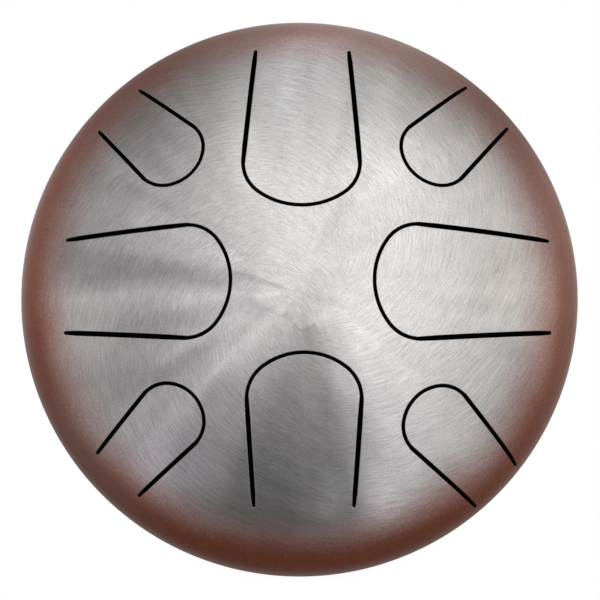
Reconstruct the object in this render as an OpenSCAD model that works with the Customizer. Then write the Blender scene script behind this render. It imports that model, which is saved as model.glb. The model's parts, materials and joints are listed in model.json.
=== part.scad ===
// Steel tongue drum: two pressed steel domes welded at the rim, eight tongues cut in the top one,
// a sound port with a rubber trim in the bottom one, and four rubber feet bolted to the belly.
// Millimetres. +Z is up, the origin is on the floor under the drum's centre, and -Y faces the player.

/* [Shell] */
// Outside diameter of the drum
shell_d = 300; // [299:0.5:301]
// Thickness of the sheet steel
sheet = 2; // [1.8:0.1:2.1]
// Outside radius of the knuckle between each dome's shallow crown and its rim
knuckle_r = 42; // [41.2:0.8:43.6]
// Height of each shell's straight rim, from the seam's centre plane
rim_h = 5; // [5:0.5:6]
// Height of the belly's lowest point above the floor
belly_gap = 7; // [6:0.5:8]

/* [Seam] */
// Height of the weld's face on the outside of the rim
weld_h = 3.8; // [3.4:0.2:4]
// Height of the weld's root, against the lip
weld_root_h = 1.6; // [1.2:0.1:1.8]
// Height of the bottom shell's lip above the seam's centre plane
lip_h = 6; // [5:0.5:6]
// Gap between the lip and the inside of the top shell
lip_gap = 0.1; // [0.1:0.01:0.12]

/* [Large tongues] */
// How far each large tongue, right, back, left and front, is turned from its quarter, in degrees
large_turn = [0.2, -0.4, 0, -0.1]; // [-2:0.1:2]
// Sideways offset of its centre line, to the left of its direction
large_shift = [-0.2, -0.6, 0.1, 2.4]; // [-3:0.1:3]
// Distance from the drum's centre to the slot round its tip
large_tip = [37.1, 37.5, 34.1, 36]; // [33:0.1:39]
// Distance from the drum's centre to its bend line
large_root = [128.8, 124.2, 119.6, 111.4]; // [110:0.1:130]
// Radius of the two corners of its round end
large_corner_r = 19.2; // [18.9:0.3:19.5]
// Distance of those corners' centres from its centre line
large_corner_y = [9.6, 10.2, 9.15, 9.15]; // [9:0.15:10.5]
// How much each of its sides closes in towards the rim, in degrees
large_taper = [4.1, 4.4, 4, 3.5]; // [3:0.1:5]
// Widest part of the straight slots along its sides
large_side_kerf = 2.4; // [2:0.1:2.6]

/* [Small tongues] */
// How far each small tongue, back right, back left, front left and front right, is turned from its diagonal
small_turn = [-0.7, 1.9, 0.2, -0.1]; // [-2:0.1:2]
// Sideways offset of its centre line, to the left of its direction
small_shift = [-0.2, -3.6, 1.9, 0.1]; // [-4:0.1:4]
// Distance from the drum's centre to the slot round its tip
small_tip = [80.2, 77.9, 77.3, 81.6]; // [76:0.1:83]
// Distance from the drum's centre to its bend line
small_root = [138.1, 133, 133.1, 143.7]; // [130:0.1:144]
// Radius of the two corners of its round end
small_corner_r = 15.6; // [15:0.3:15.9]
// Distance of those corners' centres from its centre line
small_corner_y = [3.12, 2.88, 2.28, 3.12]; // [2.1:0.06:3.3]
// How much each of its sides closes in towards the rim, in degrees
small_taper = [4.6, 4.8, 3.9, 4.7]; // [3:0.1:5]
// Widest part of the straight slots along its sides
small_side_kerf = 2.1; // [2:0.1:2.4]

/* [Slots] */
// Width of the slot round a tongue's tip
arc_kerf = 1.7; // [1.4:0.1:1.9]
// Width of a straight slot where it starts, just past the end of the curve
start_kerf = 2; // [1.8:0.1:2.2]
// How far from its start a straight slot is at its widest
start_taper = 8; // [6:1:10]
// How far before its end it starts to thin
end_taper = 6; // [5:0.5:8]
// Width of a straight slot where it ends, at the bend line
end_kerf = 1.7; // [1.4:0.1:1.9]
// How far a straight slot runs past the start of the curve
overcut = 1.2; // [0.6:0.1:1.6]
// Gap at the bend line, which lets a tongue turn there
bend_gap = 0.05; // [0.05:0.01:0.06]

/* [Sound port] */
// Diameter of the port in the bottom shell
port_d = 70; // [64:1:76]
// Width of the rubber trim that grips the port's edge
trim_w = 7; // [6:0.5:8]
// Thickness of the trim's rubber on each face of the sheet
trim_wall = 1.6; // [1.4:0.1:1.8]

/* [Feet] */
// Distance from the drum's axis to the centre of each foot, along the belly
foot_ring_r = 62; // [60:0.5:64]
// Diameter of a foot at the shell
foot_top_d = 26; // [24:0.5:28]
// Diameter of a foot at its lower end
foot_end_d = 21; // [20:0.5:22]
// Thickness of rubber between the shell and the steel insert
foot_pad = 4; // [3.6:0.2:4.4]
// Diameter of the recess that takes the screw's head
recess_d = 10; // [9.6:0.1:10.4]
// Diameter of the steel insert moulded into a foot
insert_d = 15; // [14:0.5:16]
// Thickness of the insert
insert_t = 1.2; // [1:0.1:1.4]

/* [Fasteners] */
// Diameter of the screw's shank
screw_d = 4; // [4:0.1:4.1]
// Length of the screw's shank
screw_len = 16; // [15.5:0.5:17]
// Diameter of the screw's head
head_d = 7.8; // [7.4:0.1:8]
// Height of the screw's head
head_h = 2.6; // [2.4:0.1:2.8]
// Diameter of the washer inside the shell
washer_d = 9; // [8.6:0.1:9.4]
// Thickness of the washer
washer_t = 0.8; // [0.7:0.05:0.9]
// Width of the nut across its flats
nut_w = 7; // [7:0.1:7.2]
// Height of the nut's hexagon
nut_h = 3.2; // [3:0.1:3.4]
// Height of the nut's locking collar
collar_h = 1.6; // [1.4:0.1:1.8]

/* [Hidden] */
$fn = 96;

steel = [0.72, 0.71, 0.70];
copper = [0.47, 0.27, 0.20];
rubber = [0.09, 0.09, 0.09];
zinc = [0.78, 0.79, 0.80];

far = 500; // reaches past the drum from any point inside it
shell_r = shell_d / 2;
knuckle_x = shell_r - knuckle_r; // the knuckle's centre, from the drum's axis
crown_end = [8, 15]; // direction, from the crown's centre, in which it meets the knuckle
crown_drop = knuckle_x * crown_end[1] / crown_end[0]; // the crown's centre, below the knuckle's
crown_r = knuckle_r + norm([knuckle_x, crown_drop]);
dome_h = rim_h + crown_r - crown_drop; // a dome's height above the seam
seam_z = belly_gap + dome_h;
belly_z = belly_gap + crown_r; // the centre of the bottom crown's sphere
foot_tilt = asin(foot_ring_r / crown_r);
port_tilt = asin(port_d / 2 / crown_r);
over = 1; // how far a cutting shape, or a part that merges into another, runs past the face it meets
fit_gap = 0.05; // air between a flat washer and the curved steel it stands on
shank_hole_d = screw_d + 0.4; // the holes that the screws' shanks pass through
foot_cone_h = 3 * belly_gap; // longer than a foot, so that the floor cuts its end off level
fine_fn = 200; // sides of the sphere that shapes the feet's tops
handover = [-0.8, 0.6]; // direction, from both arcs' centres, in which a tongue's tip meets its corner
handover_angle = 180 - asin(handover[1]);
arc_lap = 0.45; // radius of the disc that laps over the end of two arc cuts, as a share of their width

// ---- Flat shapes ----

// A wedge of the plane, at the origin, between two directions less than 180 degrees apart.
module wedge(from, to) {
    polygon([[0, 0], far * from, far * (from + to), far * to]);
}

// Part of a ring whose outer edge has radius r.
module ring_part(r, width, from, to) {
    intersection() {
        difference() {
            circle(r);
            circle(r - width);
        }
        wedge(from, to);
    }
}

// ---- Domes ----

// Half the section of a dome, with its straight rim starting at height start.
module dome_section(start) {
    translate([0, rim_h - crown_drop]) ring_part(crown_r, sheet, crown_end, [0, 1]);
    translate([knuckle_x, rim_h]) ring_part(knuckle_r, sheet, [1, 0], crown_end);
    translate([shell_r - sheet, start]) square([sheet, rim_h - start]);
}

// The lip that steps inwards by one sheet, so that it nests inside the other dome's rim.
module lip_section() {
    outer = shell_r - sheet - lip_gap;
    inner = outer - sheet;
    step_low = weld_h - weld_root_h / 2;
    polygon([
        [shell_r - sheet, -rim_h],
        [shell_r, -rim_h],
        [shell_r, -step_low],
        [outer, -weld_root_h / 2],
        [outer, lip_h],
        [inner, lip_h],
        [inner, -weld_root_h / 2 - lip_gap],
        [shell_r - sheet, -step_low - lip_gap]
    ]);
}

// ---- Tongues and slots, in plan: +X runs from the drum's centre towards the rim ----
// A shape is [tip, root, corner_r, corner_y, taper, side_kerf]. Its outline follows the middle of the slot.

function large_angle(i) = 90 * i + large_turn[i];
function small_angle(i) = 45 + 90 * i + small_turn[i];
function large_shape(i) =
    [large_tip[i], large_root[i], large_corner_r, large_corner_y[i], large_taper[i], large_side_kerf];
function small_shape(i) =
    [small_tip[i], small_root[i], small_corner_r, small_corner_y[i], small_taper[i], small_side_kerf];

function tip_r(shape) = shape[2] + shape[3] / handover[1];
function tip_centre(shape) = [shape[0] + tip_r(shape), 0];
function corner_centre(shape) = tip_centre(shape) + shape[3] / handover[1] * handover;
function side_normal(shape) = [sin(shape[4]), cos(shape[4])];
function side_start(shape) = corner_centre(shape) + shape[2] * side_normal(shape);
function side_end(shape) =
    [shape[1], side_start(shape)[1] - (shape[1] - side_start(shape)[0]) * tan(shape[4])];
function flipped(point) = [point[0], -point[1]];
function arcs_meet(shape) = tip_centre(shape) + tip_r(shape) * handover;

function arc_points(centre, r, from, to, steps) =
    [for (i = [0:steps]) let (angle = from + (to - from) * i / steps) centre + r * [cos(angle), sin(angle)]];

// The tongue's area, as far as x = end. Its straight steps round the tip stay inside the slot.
module tongue_area(shape, end) {
    corner_steps = 4;
    tip_steps = 3;
    tip_from = handover_angle + 6; // a short step on from the corner's last point
    half = concat(
        arc_points(corner_centre(shape), shape[2], 90 - shape[4], handover_angle, corner_steps),
        arc_points(tip_centre(shape), tip_r(shape), tip_from, 180, tip_steps)
    );
    side = [end, side_end(shape)[1] + (shape[1] - end) * tan(shape[4])];
    polygon(concat([side], half, [for (i = [len(half) - 2:-1:0]) flipped(half[i])], [flipped(side)]));
}

// A straight slot from the origin along +X: it starts a little wider than the arc, and thins to a round end.
module side_slot(length, side_kerf) {
    half = [
        [-overcut, start_kerf / 2], [start_taper, side_kerf / 2],
        [length - end_taper, side_kerf / 2], [length, end_kerf / 2]
    ];
    polygon(concat(half, [for (i = [len(half) - 1:-1:0]) flipped(half[i])]));
    translate([length, 0]) circle(end_kerf / 2);
}

// The slot round a tongue: a curved cut round its tip and a straight cut along each side.
module slot_area(shape) {
    start = side_start(shape);
    side_len = norm(side_end(shape) - start);
    corner = corner_centre(shape);
    corner_outer_r = shape[2] + arc_kerf / 2;
    translate(tip_centre(shape))
        ring_part(tip_r(shape) + arc_kerf / 2, arc_kerf, handover, flipped(handover));
    translate(corner) ring_part(corner_outer_r, arc_kerf, side_normal(shape), handover);
    translate(flipped(corner))
        ring_part(corner_outer_r, arc_kerf, flipped(handover), flipped(side_normal(shape)));
    for (point = [arcs_meet(shape), flipped(arcs_meet(shape))]) translate(point) circle(arc_lap * arc_kerf);
    translate(start) rotate(-shape[4]) side_slot(side_len, shape[5]);
    translate(flipped(start)) rotate(shape[4]) side_slot(side_len, shape[5]);
}

// Stands a flat shape up through the top dome, along a tongue's own direction.
module through_top(angle, shift) {
    clear_of_rim = 4;
    translate([0, 0, seam_z + rim_h + clear_of_rim]) rotate(angle) translate([0, shift])
        linear_extrude(dome_h) children();
}

module tongue(angle, shift, shape) {
    color(steel) difference() {
        intersection() {
            top_dome();
            through_top(angle, shift) tongue_area(shape, shape[1] - bend_gap);
        }
        through_top(angle, shift) slot_area(shape);
    }
}

// What is cut out of the top dome for one tongue: its slot and the tongue itself.
module tongue_opening(angle, shift, shape) {
    through_top(angle, shift) {
        tongue_area(shape, shape[1]);
        slot_area(shape);
    }
}

module large_tongue(i) {
    tongue(large_angle(i), large_shift[i], large_shape(i));
}

module small_tongue(i) {
    tongue(small_angle(i), small_shift[i], small_shape(i));
}

// ---- Shells and seam ----

module top_dome() {
    translate([0, 0, seam_z]) rotate_extrude() dome_section(weld_root_h / 2);
}

module top_shell() {
    color(steel) difference() {
        top_dome();
        for (i = [0:3]) {
            tongue_opening(large_angle(i), large_shift[i], large_shape(i));
            tongue_opening(small_angle(i), small_shift[i], small_shape(i));
        }
    }
}

module bottom_shell() {
    color(copper) difference() {
        translate([0, 0, seam_z]) union() {
            mirror([0, 0, 1]) rotate_extrude() dome_section(rim_h - over);
            rotate_extrude() lip_section();
        }
        cylinder(d = port_d, h = belly_gap + dome_h / 2);
        at_feet() along_foot(-sheet - over) cylinder(d = shank_hole_d, h = sheet + 2 * over);
    }
}

// The weld that fills the groove over the lip, ground flush with the rim.
module seam_weld() {
    lip_r = shell_r - sheet - lip_gap;
    color(copper) translate([0, 0, seam_z]) rotate_extrude() polygon([
        [lip_r, -weld_root_h / 2],
        [shell_r, weld_root_h / 2 - weld_h],
        [shell_r, weld_root_h / 2],
        [lip_r, weld_root_h / 2]
    ]);
}

// ---- Sound port ----

// A U-shaped rubber section that grips the sheet round the port, square to the dome there.
module port_trim() {
    half_h = sheet / 2 + trim_wall;
    edge_gap = 0.4; // air between the port's edge and the floor of the groove
    lip_round = 1.2;
    nose_y = -edge_gap - trim_wall;
    lip_y = nose_y + trim_w - lip_round;
    color(rubber) translate([0, 0, belly_z]) rotate_extrude() rotate(port_tilt - 90)
        translate([crown_r - sheet / 2, 0]) difference() {
            union() {
                translate([-half_h, nose_y]) square([2 * half_h, lip_y - nose_y]);
                translate([lip_round - half_h, lip_y]) square([2 * (half_h - lip_round), lip_round]);
                for (side = [-1, 1]) translate([side * (half_h - lip_round), lip_y]) circle(lip_round);
                translate([0, nose_y]) circle(half_h);
            }
            translate([-sheet / 2 - fit_gap, -edge_gap]) square([sheet + 2 * fit_gap, trim_w]);
        }
}

// ---- Feet and their fasteners ----

// The angles of the feet, front left, front right, back right and back left.
foot_angles = [225, 315, 45, 135];

module at_feet(which = foot_angles) {
    for (angle = which) rotate(angle) children();
}

// A foot's own frame: +Z points out of the belly, square to it, with z = 0 on the outside of the steel.
module along_foot(z) {
    translate([0, 0, belly_z]) rotate([0, 180 - foot_tilt, 0]) translate([0, 0, crown_r + z]) children();
}

module foot(angle) {
    color(rubber) at_feet([angle]) difference() {
        along_foot(-over) cylinder(d1 = foot_top_d, d2 = foot_end_d, h = foot_cone_h);
        translate([0, 0, belly_z]) sphere(crown_r, $fn = fine_fn);
        translate([0, -foot_top_d, -far]) cube([far, 2 * foot_top_d, far]);
        along_foot(-2 * over) cylinder(d = shank_hole_d, h = foot_pad + 3 * over);
        along_foot(foot_pad) cylinder(d = insert_d, h = insert_t);
        along_foot(foot_pad + insert_t / 2) cylinder(d = recess_d, h = foot_cone_h);
    }
}

module foot_inserts() {
    color(zinc) at_feet() along_foot(foot_pad) difference() {
        cylinder(d = insert_d, h = insert_t);
        translate([0, 0, -over]) cylinder(d = shank_hole_d, h = insert_t + 2 * over);
    }
}

module foot_screws() {
    side_h = 0.6 * head_h; // the head's straight side, below its bevel
    top_d = 0.7 * head_d;
    slot_w = 1; // the two slots of the cross
    slot_floor = 0.35 * head_h;
    color(zinc) at_feet() along_foot(foot_pad + insert_t) difference() {
        union() {
            translate([0, 0, -screw_len]) cylinder(d = screw_d, h = screw_len + side_h);
            cylinder(d = head_d, h = side_h);
            translate([0, 0, side_h]) cylinder(d1 = head_d, d2 = top_d, h = head_h - side_h);
        }
        for (turn = [0, 90]) rotate(turn) translate([-head_d / 4, -slot_w / 2, slot_floor])
            cube([head_d / 2, slot_w, head_h]);
    }
}

module foot_washers() {
    color(zinc) at_feet() along_foot(-sheet - fit_gap - washer_t) difference() {
        cylinder(d = washer_d, h = washer_t);
        translate([0, 0, -over]) cylinder(d = shank_hole_d, h = washer_t + 2 * over);
    }
}

module foot_nuts() {
    collar_d = 0.9 * nut_w;
    color(zinc) at_feet() along_foot(-sheet - fit_gap - washer_t - nut_h) difference() {
        union() {
            cylinder(d = nut_w / cos(30), h = nut_h, $fn = 6);
            translate([0, 0, -collar_h]) cylinder(d = collar_d, h = collar_h + over);
        }
        translate([0, 0, -collar_h - over])
            cylinder(d = screw_d + fit_gap, h = nut_h + collar_h + 2 * over);
    }
}

// ---- The pieces ----

module tongue_right() { large_tongue(0); }
module tongue_back() { large_tongue(1); }
module tongue_left() { large_tongue(2); }
module tongue_front() { large_tongue(3); }
module tongue_back_right() { small_tongue(0); }
module tongue_back_left() { small_tongue(1); }
module tongue_front_left() { small_tongue(2); }
module tongue_front_right() { small_tongue(3); }
module foot_front_left() { foot(foot_angles[0]); }
module foot_front_right() { foot(foot_angles[1]); }
module foot_back_right() { foot(foot_angles[2]); }
module foot_back_left() { foot(foot_angles[3]); }

top_shell();
tongue_right();
tongue_back_right();
tongue_back();
tongue_back_left();
tongue_left();
tongue_front_left();
tongue_front();
tongue_front_right();
bottom_shell();
seam_weld();
port_trim();
foot_front_left();
foot_front_right();
foot_back_left();
foot_back_right();
foot_inserts();
foot_screws();
foot_washers();
foot_nuts();
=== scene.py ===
import json
import math

import bpy
import numpy as np
from mathutils import Euler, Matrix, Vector
from mathutils.geometry import delaunay_2d_cdt


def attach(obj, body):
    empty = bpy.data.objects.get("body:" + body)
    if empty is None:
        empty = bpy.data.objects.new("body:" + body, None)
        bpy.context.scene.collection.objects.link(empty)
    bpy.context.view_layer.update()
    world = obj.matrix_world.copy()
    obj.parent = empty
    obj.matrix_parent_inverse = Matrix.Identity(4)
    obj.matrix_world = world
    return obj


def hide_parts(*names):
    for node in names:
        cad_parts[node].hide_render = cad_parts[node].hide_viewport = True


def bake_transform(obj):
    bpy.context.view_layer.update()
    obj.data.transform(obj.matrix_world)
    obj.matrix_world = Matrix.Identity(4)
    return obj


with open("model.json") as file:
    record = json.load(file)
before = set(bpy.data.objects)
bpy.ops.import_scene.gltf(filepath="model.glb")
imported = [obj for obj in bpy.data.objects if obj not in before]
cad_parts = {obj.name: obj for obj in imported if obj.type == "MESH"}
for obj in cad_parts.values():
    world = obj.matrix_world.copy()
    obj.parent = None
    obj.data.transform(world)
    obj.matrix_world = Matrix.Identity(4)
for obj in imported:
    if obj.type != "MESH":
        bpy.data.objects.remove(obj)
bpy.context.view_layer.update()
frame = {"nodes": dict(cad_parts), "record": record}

MM = 0.001

# ---- The drum's own dimensions, in millimetres, as in the CAD ----

SHELL_R = 150
SHEET = 2
KNUCKLE_R = 42
RIM_H = 5
BELLY_GAP = 7
KNUCKLE_X = SHELL_R - KNUCKLE_R
CROWN_SLOPE = (8, 15)
CROWN_DROP = KNUCKLE_X * CROWN_SLOPE[1] / CROWN_SLOPE[0]
CROWN_R = KNUCKLE_R + math.hypot(KNUCKLE_X, CROWN_DROP)
CROWN_ANGLE = math.atan2(*CROWN_SLOPE)
SEAM_Z = BELLY_GAP + RIM_H + CROWN_R - CROWN_DROP
WELD_TOP = 0.8

ARC_KERF = 1.7
START_KERF = 2.0
LARGE_SIDE_KERF = 2.4
SMALL_SIDE_KERF = 2.1
END_KERF = 1.7
OVERCUT = 1.2
START_TAPER = 8
END_TAPER = 6
HANDOVER = (-0.8, 0.6)      # direction, from both arcs' centres, in which a tongue's tip meets its corner

LARGE_CORNER_R = 19.2
SMALL_CORNER_R = 15.6
# Angle and sideways shift of each tongue, distance from the drum's axis to its tip and its root, radius and
# sideways offset of its corners, taper of each side in degrees, and its side slots' widest part.
TONGUES = {
    "tongue_right": (0.2, -0.2, 37.1, 128.8, LARGE_CORNER_R, 9.6, 4.1, LARGE_SIDE_KERF),
    "tongue_back": (89.6, -0.6, 37.5, 124.2, LARGE_CORNER_R, 10.2, 4.4, LARGE_SIDE_KERF),
    "tongue_left": (180, 0.1, 34.1, 119.6, LARGE_CORNER_R, 9.15, 4, LARGE_SIDE_KERF),
    "tongue_front": (269.9, 2.4, 36, 111.4, LARGE_CORNER_R, 9.15, 3.5, LARGE_SIDE_KERF),
    "tongue_back_right": (44.3, -0.2, 80.2, 138.1, SMALL_CORNER_R, 3.12, 4.6, SMALL_SIDE_KERF),
    "tongue_back_left": (136.9, -3.6, 77.9, 133, SMALL_CORNER_R, 2.88, 4.8, SMALL_SIDE_KERF),
    "tongue_front_left": (225.2, 1.9, 77.3, 133.1, SMALL_CORNER_R, 2.28, 3.9, SMALL_SIDE_KERF),
    "tongue_front_right": (314.9, 0.1, 81.6, 143.7, SMALL_CORNER_R, 3.12, 4.7, SMALL_SIDE_KERF),
}

# ---- Mesh resolution ----

EDGE_ROUND = 0.25      # radius of the rounded edge round every slot
EDGE_STEPS = 3
ARC_STEP = math.radians(4)
TIGHT_ARC_R = 8        # an arc gets a share of its points, by its radius over this plus the least share
LEAST_ARC_SHARE = 0.4
SIDE_STEP = 3.0
GRID_STEP = 4.0
ROW_STEP = GRID_STEP * math.sqrt(0.75)
RIM_CLEARANCE = 0.6 * GRID_STEP
SLOT_CLEARANCE = 0.55 * SIDE_STEP
MERGE_DISTANCE = 1e-7
TINY = 1e-9            # keeps a division by a radius of zero finite
RIM_SEGMENTS = 360
FLAT_R = 146.2         # slots stay inside this radius; outside it the mesh is a plain lathe
LATHE_STEPS = 7


# ---- Profile of a dome: angle is the surface normal's angle from +Z, depth is below the outside ----

def profile_angle(r, depth):
    """Normal's angle where the surface at this depth has plan radius r."""
    crown_edge = (CROWN_R - depth) * math.sin(CROWN_ANGLE)
    crown = np.arcsin(np.clip(r / (CROWN_R - depth), 0, 1))
    knuckle = np.arcsin(np.clip((r - KNUCKLE_X) / (KNUCKLE_R - depth), 0, 1))
    return np.where(r <= crown_edge, crown, knuckle)


def profile_point(angle, depth):
    """Plan radius and height above the seam at a normal's angle."""
    on_crown = angle <= CROWN_ANGLE
    crown_r, knuckle_r = CROWN_R - depth, KNUCKLE_R - depth
    r = np.where(on_crown, crown_r * np.sin(angle), KNUCKLE_X + knuckle_r * np.sin(angle))
    z = np.where(on_crown, RIM_H - CROWN_DROP + crown_r * np.cos(angle), RIM_H + knuckle_r * np.cos(angle))
    return r, z


def arc_length(angle):
    """Distance from the apex over the outside of the dome."""
    knuckle = np.maximum(angle - CROWN_ANGLE, 0)
    return CROWN_R * np.minimum(angle, CROWN_ANGLE) + KNUCKLE_R * knuckle


def angle_at_length(length):
    """The inverse of arc_length."""
    crown_length = CROWN_R * CROWN_ANGLE
    return np.where(length <= crown_length, length / CROWN_R,
                    CROWN_ANGLE + (length - crown_length) / KNUCKLE_R)


def unroll(plan):
    """Plan points on the outside of the dome, laid flat so that distances from the apex are true."""
    r = np.hypot(plan[:, 0], plan[:, 1])
    return plan * (arc_length(profile_angle(r, 0)) / np.maximum(r, TINY))[:, None]


def roll(flat):
    """The inverse of unroll."""
    length = np.hypot(flat[:, 0], flat[:, 1])
    r, _ = profile_point(angle_at_length(length), 0)
    return flat * (r / np.maximum(length, TINY))[:, None]


def on_dome(plan, depth):
    """Points and unit normals of the dome above plan points, at a depth below its outside."""
    r = np.hypot(plan[:, 0], plan[:, 1])
    angle = profile_angle(r, depth)
    _, z = profile_point(angle, depth)
    out = plan / np.maximum(r, TINY)[:, None]
    normals = np.column_stack([out * np.sin(angle)[:, None], np.cos(angle)])
    return np.column_stack([plan, SEAM_Z + z]), normals


# ---- Slot outlines ----

def arc(centre, radius, start, end):
    """Points and outward normals along an arc, without its last point."""
    share = min(1, radius / TIGHT_ARC_R + LEAST_ARC_SHARE)
    steps = max(2, round(abs(end - start) / ARC_STEP * share))
    angles = start + (end - start) * np.arange(steps) / steps
    normals = np.column_stack([np.cos(angles), np.sin(angles)])
    return np.array(centre) + radius * normals, normals


def half_outline(tip, root, corner_r, corner_y, taper, side_kerf):
    """Half the slot round a tongue that lies along +X, from the outside of its tip to its end at the root and
    back along the inside: points, the direction from each into the steel, and the bend line's index."""
    taper = math.radians(taper)
    tip_r = corner_r + corner_y / HANDOVER[1]
    tip_centre = (tip + tip_r, 0)
    corner = (tip + tip_r + HANDOVER[0] * corner_y / HANDOVER[1], corner_y)
    handover = math.atan2(HANDOVER[1], HANDOVER[0])
    corner_end = math.pi / 2 - taper + 2 * OVERCUT / corner_r
    across = np.array([math.sin(taper), math.cos(taper)])
    along = np.array([math.cos(taper), -math.sin(taper)])
    side_start = np.array(corner) + corner_r * across
    length = (root - side_start[0]) / math.cos(taper)
    side_end = side_start + length * along
    half_kerf = ARC_KERF / 2
    cap_r = END_KERF / 2

    def half_width(t):
        return np.interp(t, [-OVERCUT, START_TAPER, length - END_TAPER, length],
                         [START_KERF / 2, side_kerf / 2, side_kerf / 2, END_KERF / 2])

    def side(first, last, sign):
        t = np.linspace(first, last, round(abs(last - first) / SIDE_STEP) + 1)
        if sign > 0:
            t = t[:-1]
        points = side_start + t[:, None] * along + sign * half_width(t)[:, None] * across
        return points, np.tile(sign * across, (len(t), 1))

    outer = [arc(tip_centre, tip_r + half_kerf, math.pi, handover),
             arc(corner, corner_r + half_kerf, handover, corner_end),
             side(-OVERCUT, length, 1)]
    to_bend = arc(side_end, cap_r, math.pi / 2 - taper, -math.pi / 2)
    past_bend = arc(side_end, cap_r, -math.pi / 2, -math.pi / 2 - taper)
    inner = [side(length, -OVERCUT, -1),
             arc(corner, corner_r - half_kerf, corner_end, handover),
             arc(tip_centre, tip_r - half_kerf, handover, math.pi)]
    # Inside the bend of an arc, the steel lies towards its centre.
    inner = [inner[0]] + [(points, -normals) for points, normals in inner[1:]]
    parts = outer + [to_bend, past_bend] + inner
    bend_index = sum(len(points) for points, _ in outer) + len(to_bend[0])
    points, normals = (np.vstack(rows) for rows in zip(*parts))
    return points, normals, bend_index


def slot_outline(name):
    """The slot round a tongue as one closed loop in plan: points, the direction from each into the steel,
    and the indices of the two points on the bend line, where the tongue's own edge starts and ends."""
    angle, shift, tip = TONGUES[name][:3]
    points, normals, bend_index = half_outline(*TONGUES[name][2:])
    last = np.array([[tip + ARC_KERF / 2, 0]])
    all_points = np.vstack([points, last, points[1:][::-1] * [1, -1]])
    all_normals = np.vstack([normals, [[1, 0]], normals[1:][::-1] * [1, -1]])
    other_bend = 2 * len(points) - bend_index
    turn = math.radians(angle)
    axes = np.array([[math.cos(turn), math.sin(turn)], [-math.sin(turn), math.cos(turn)]])
    return (all_points + [0, shift]) @ axes, all_normals @ axes, bend_index, other_bend


# ---- The top dome: one sheet of triangles, shared out between the shell and its tongues ----

def inside(points, loop):
    """Which points lie inside a closed loop."""
    hit = np.zeros(len(points), bool)
    following = np.roll(loop, -1, axis=0)
    for (x1, y1), (x2, y2) in zip(loop, following):
        crosses = (y1 > points[:, 1]) != (y2 > points[:, 1])
        if y1 != y2:
            hit ^= crosses & (points[:, 0] < (x2 - x1) * (points[:, 1] - y1) / (y2 - y1) + x1)
    return hit


def distance_to_loop(points, loop):
    """Distance from each point to the nearest of a loop's corners."""
    return np.sqrt(((points[:, None, :] - loop[None, :, :]) ** 2).sum(-1)).min(1)


def grid_points(limit):
    """A staggered grid of points inside a circle."""
    rows = int(limit / ROW_STEP)
    points = []
    for row in range(-rows, rows + 1):
        y = row * ROW_STEP
        shift = GRID_STEP / 2 if row % 2 else 0
        columns = int(limit / GRID_STEP) + 1
        points += [(column * GRID_STEP + shift, y) for column in range(-columns, columns + 1)]
    points = np.array(points)
    return points[np.hypot(*points.T) < limit]


def rim_directions():
    """The directions of the lathe's segments, in plan."""
    turns = np.arange(RIM_SEGMENTS) * 2 * math.pi / RIM_SEGMENTS
    return np.column_stack([np.cos(turns), np.sin(turns)])


class Sheet:
    """The top dome's triangulated outside, and everything needed to give any part of it a thickness."""

    def __init__(self):
        self.loops = {name: slot_outline(name) for name in TONGUES}
        flat_limit = float(arc_length(profile_angle(np.array(FLAT_R), 0)))
        outlines, edges = self.lay_out(flat_limit)
        inner = grid_points(flat_limit - RIM_CLEARANCE)
        for outline in outlines[1:]:
            inner = inner[distance_to_loop(inner, outline) > SLOT_CLEARANCE]
        points = np.vstack(outlines + [inner])
        result = delaunay_2d_cdt([Vector(point) for point in points.tolist()], edges, [], 0, MERGE_DISTANCE)
        self.flat = np.array([tuple(point) for point in result[0]])
        if len(self.flat) != len(points):
            raise RuntimeError("the slots cross each other")
        self.faces = np.array(result[2])
        self.share_out()
        self.plan = roll(self.flat)
        # A loop's own points are kept exact, because the steps above pass them through a projection.
        self.set_loops(self.plan, EDGE_ROUND)
        self.under_plan = self.plan.copy()
        self.set_loops(self.under_plan, 0)

    def lay_out(self, flat_limit):
        """The lines the triangles keep to, laid flat: the rim, then each slot's loop and its bend line.
        Returns the points of each line and the edges between them."""
        outlines = [flat_limit * rim_directions()]
        edges = [(i, (i + 1) % RIM_SEGMENTS) for i in range(RIM_SEGMENTS)]
        count = RIM_SEGMENTS
        self.loop_start, self.bend_line = {}, {}
        for name, (points, normals, bend_a, bend_b) in self.loops.items():
            n = len(points)
            widened = points + EDGE_ROUND * normals
            self.loop_start[name] = count
            edges += [(count + i, count + (i + 1) % n) for i in range(n)]
            ends = widened[[bend_a, bend_b]]
            steps = round(np.linalg.norm(ends[1] - ends[0]) / SIDE_STEP)
            between = ends[0] + (ends[1] - ends[0]) * (np.arange(1, steps) / steps)[:, None]
            line = [count + bend_a] + [count + n + i for i in range(steps - 1)] + [count + bend_b]
            self.bend_line[name] = line
            edges += list(zip(line, line[1:]))
            outlines += [unroll(widened), unroll(between)]
            count += n + steps - 1
        return outlines, edges

    def share_out(self):
        """Notes which part each triangle belongs to: the shell, a tongue, or a slot."""
        centres = self.flat[self.faces].mean(1)
        self.owner = np.full(len(self.faces), "top_shell", object)
        for name, (points, _, bend_a, bend_b) in self.loops.items():
            first = self.loop_start[name]
            loop = self.flat[first:first + len(points)]
            self.owner[inside(centres, loop[bend_a:bend_b + 1])] = name
            self.owner[inside(centres, loop)] = "slot"

    def set_loops(self, plan, offset):
        """Puts every slot's own points in place, at an offset into the steel from the slot's outline."""
        for name, (points, normals, _, _) in self.loops.items():
            first = self.loop_start[name]
            plan[first:first + len(points)] = points + offset * normals


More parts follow.
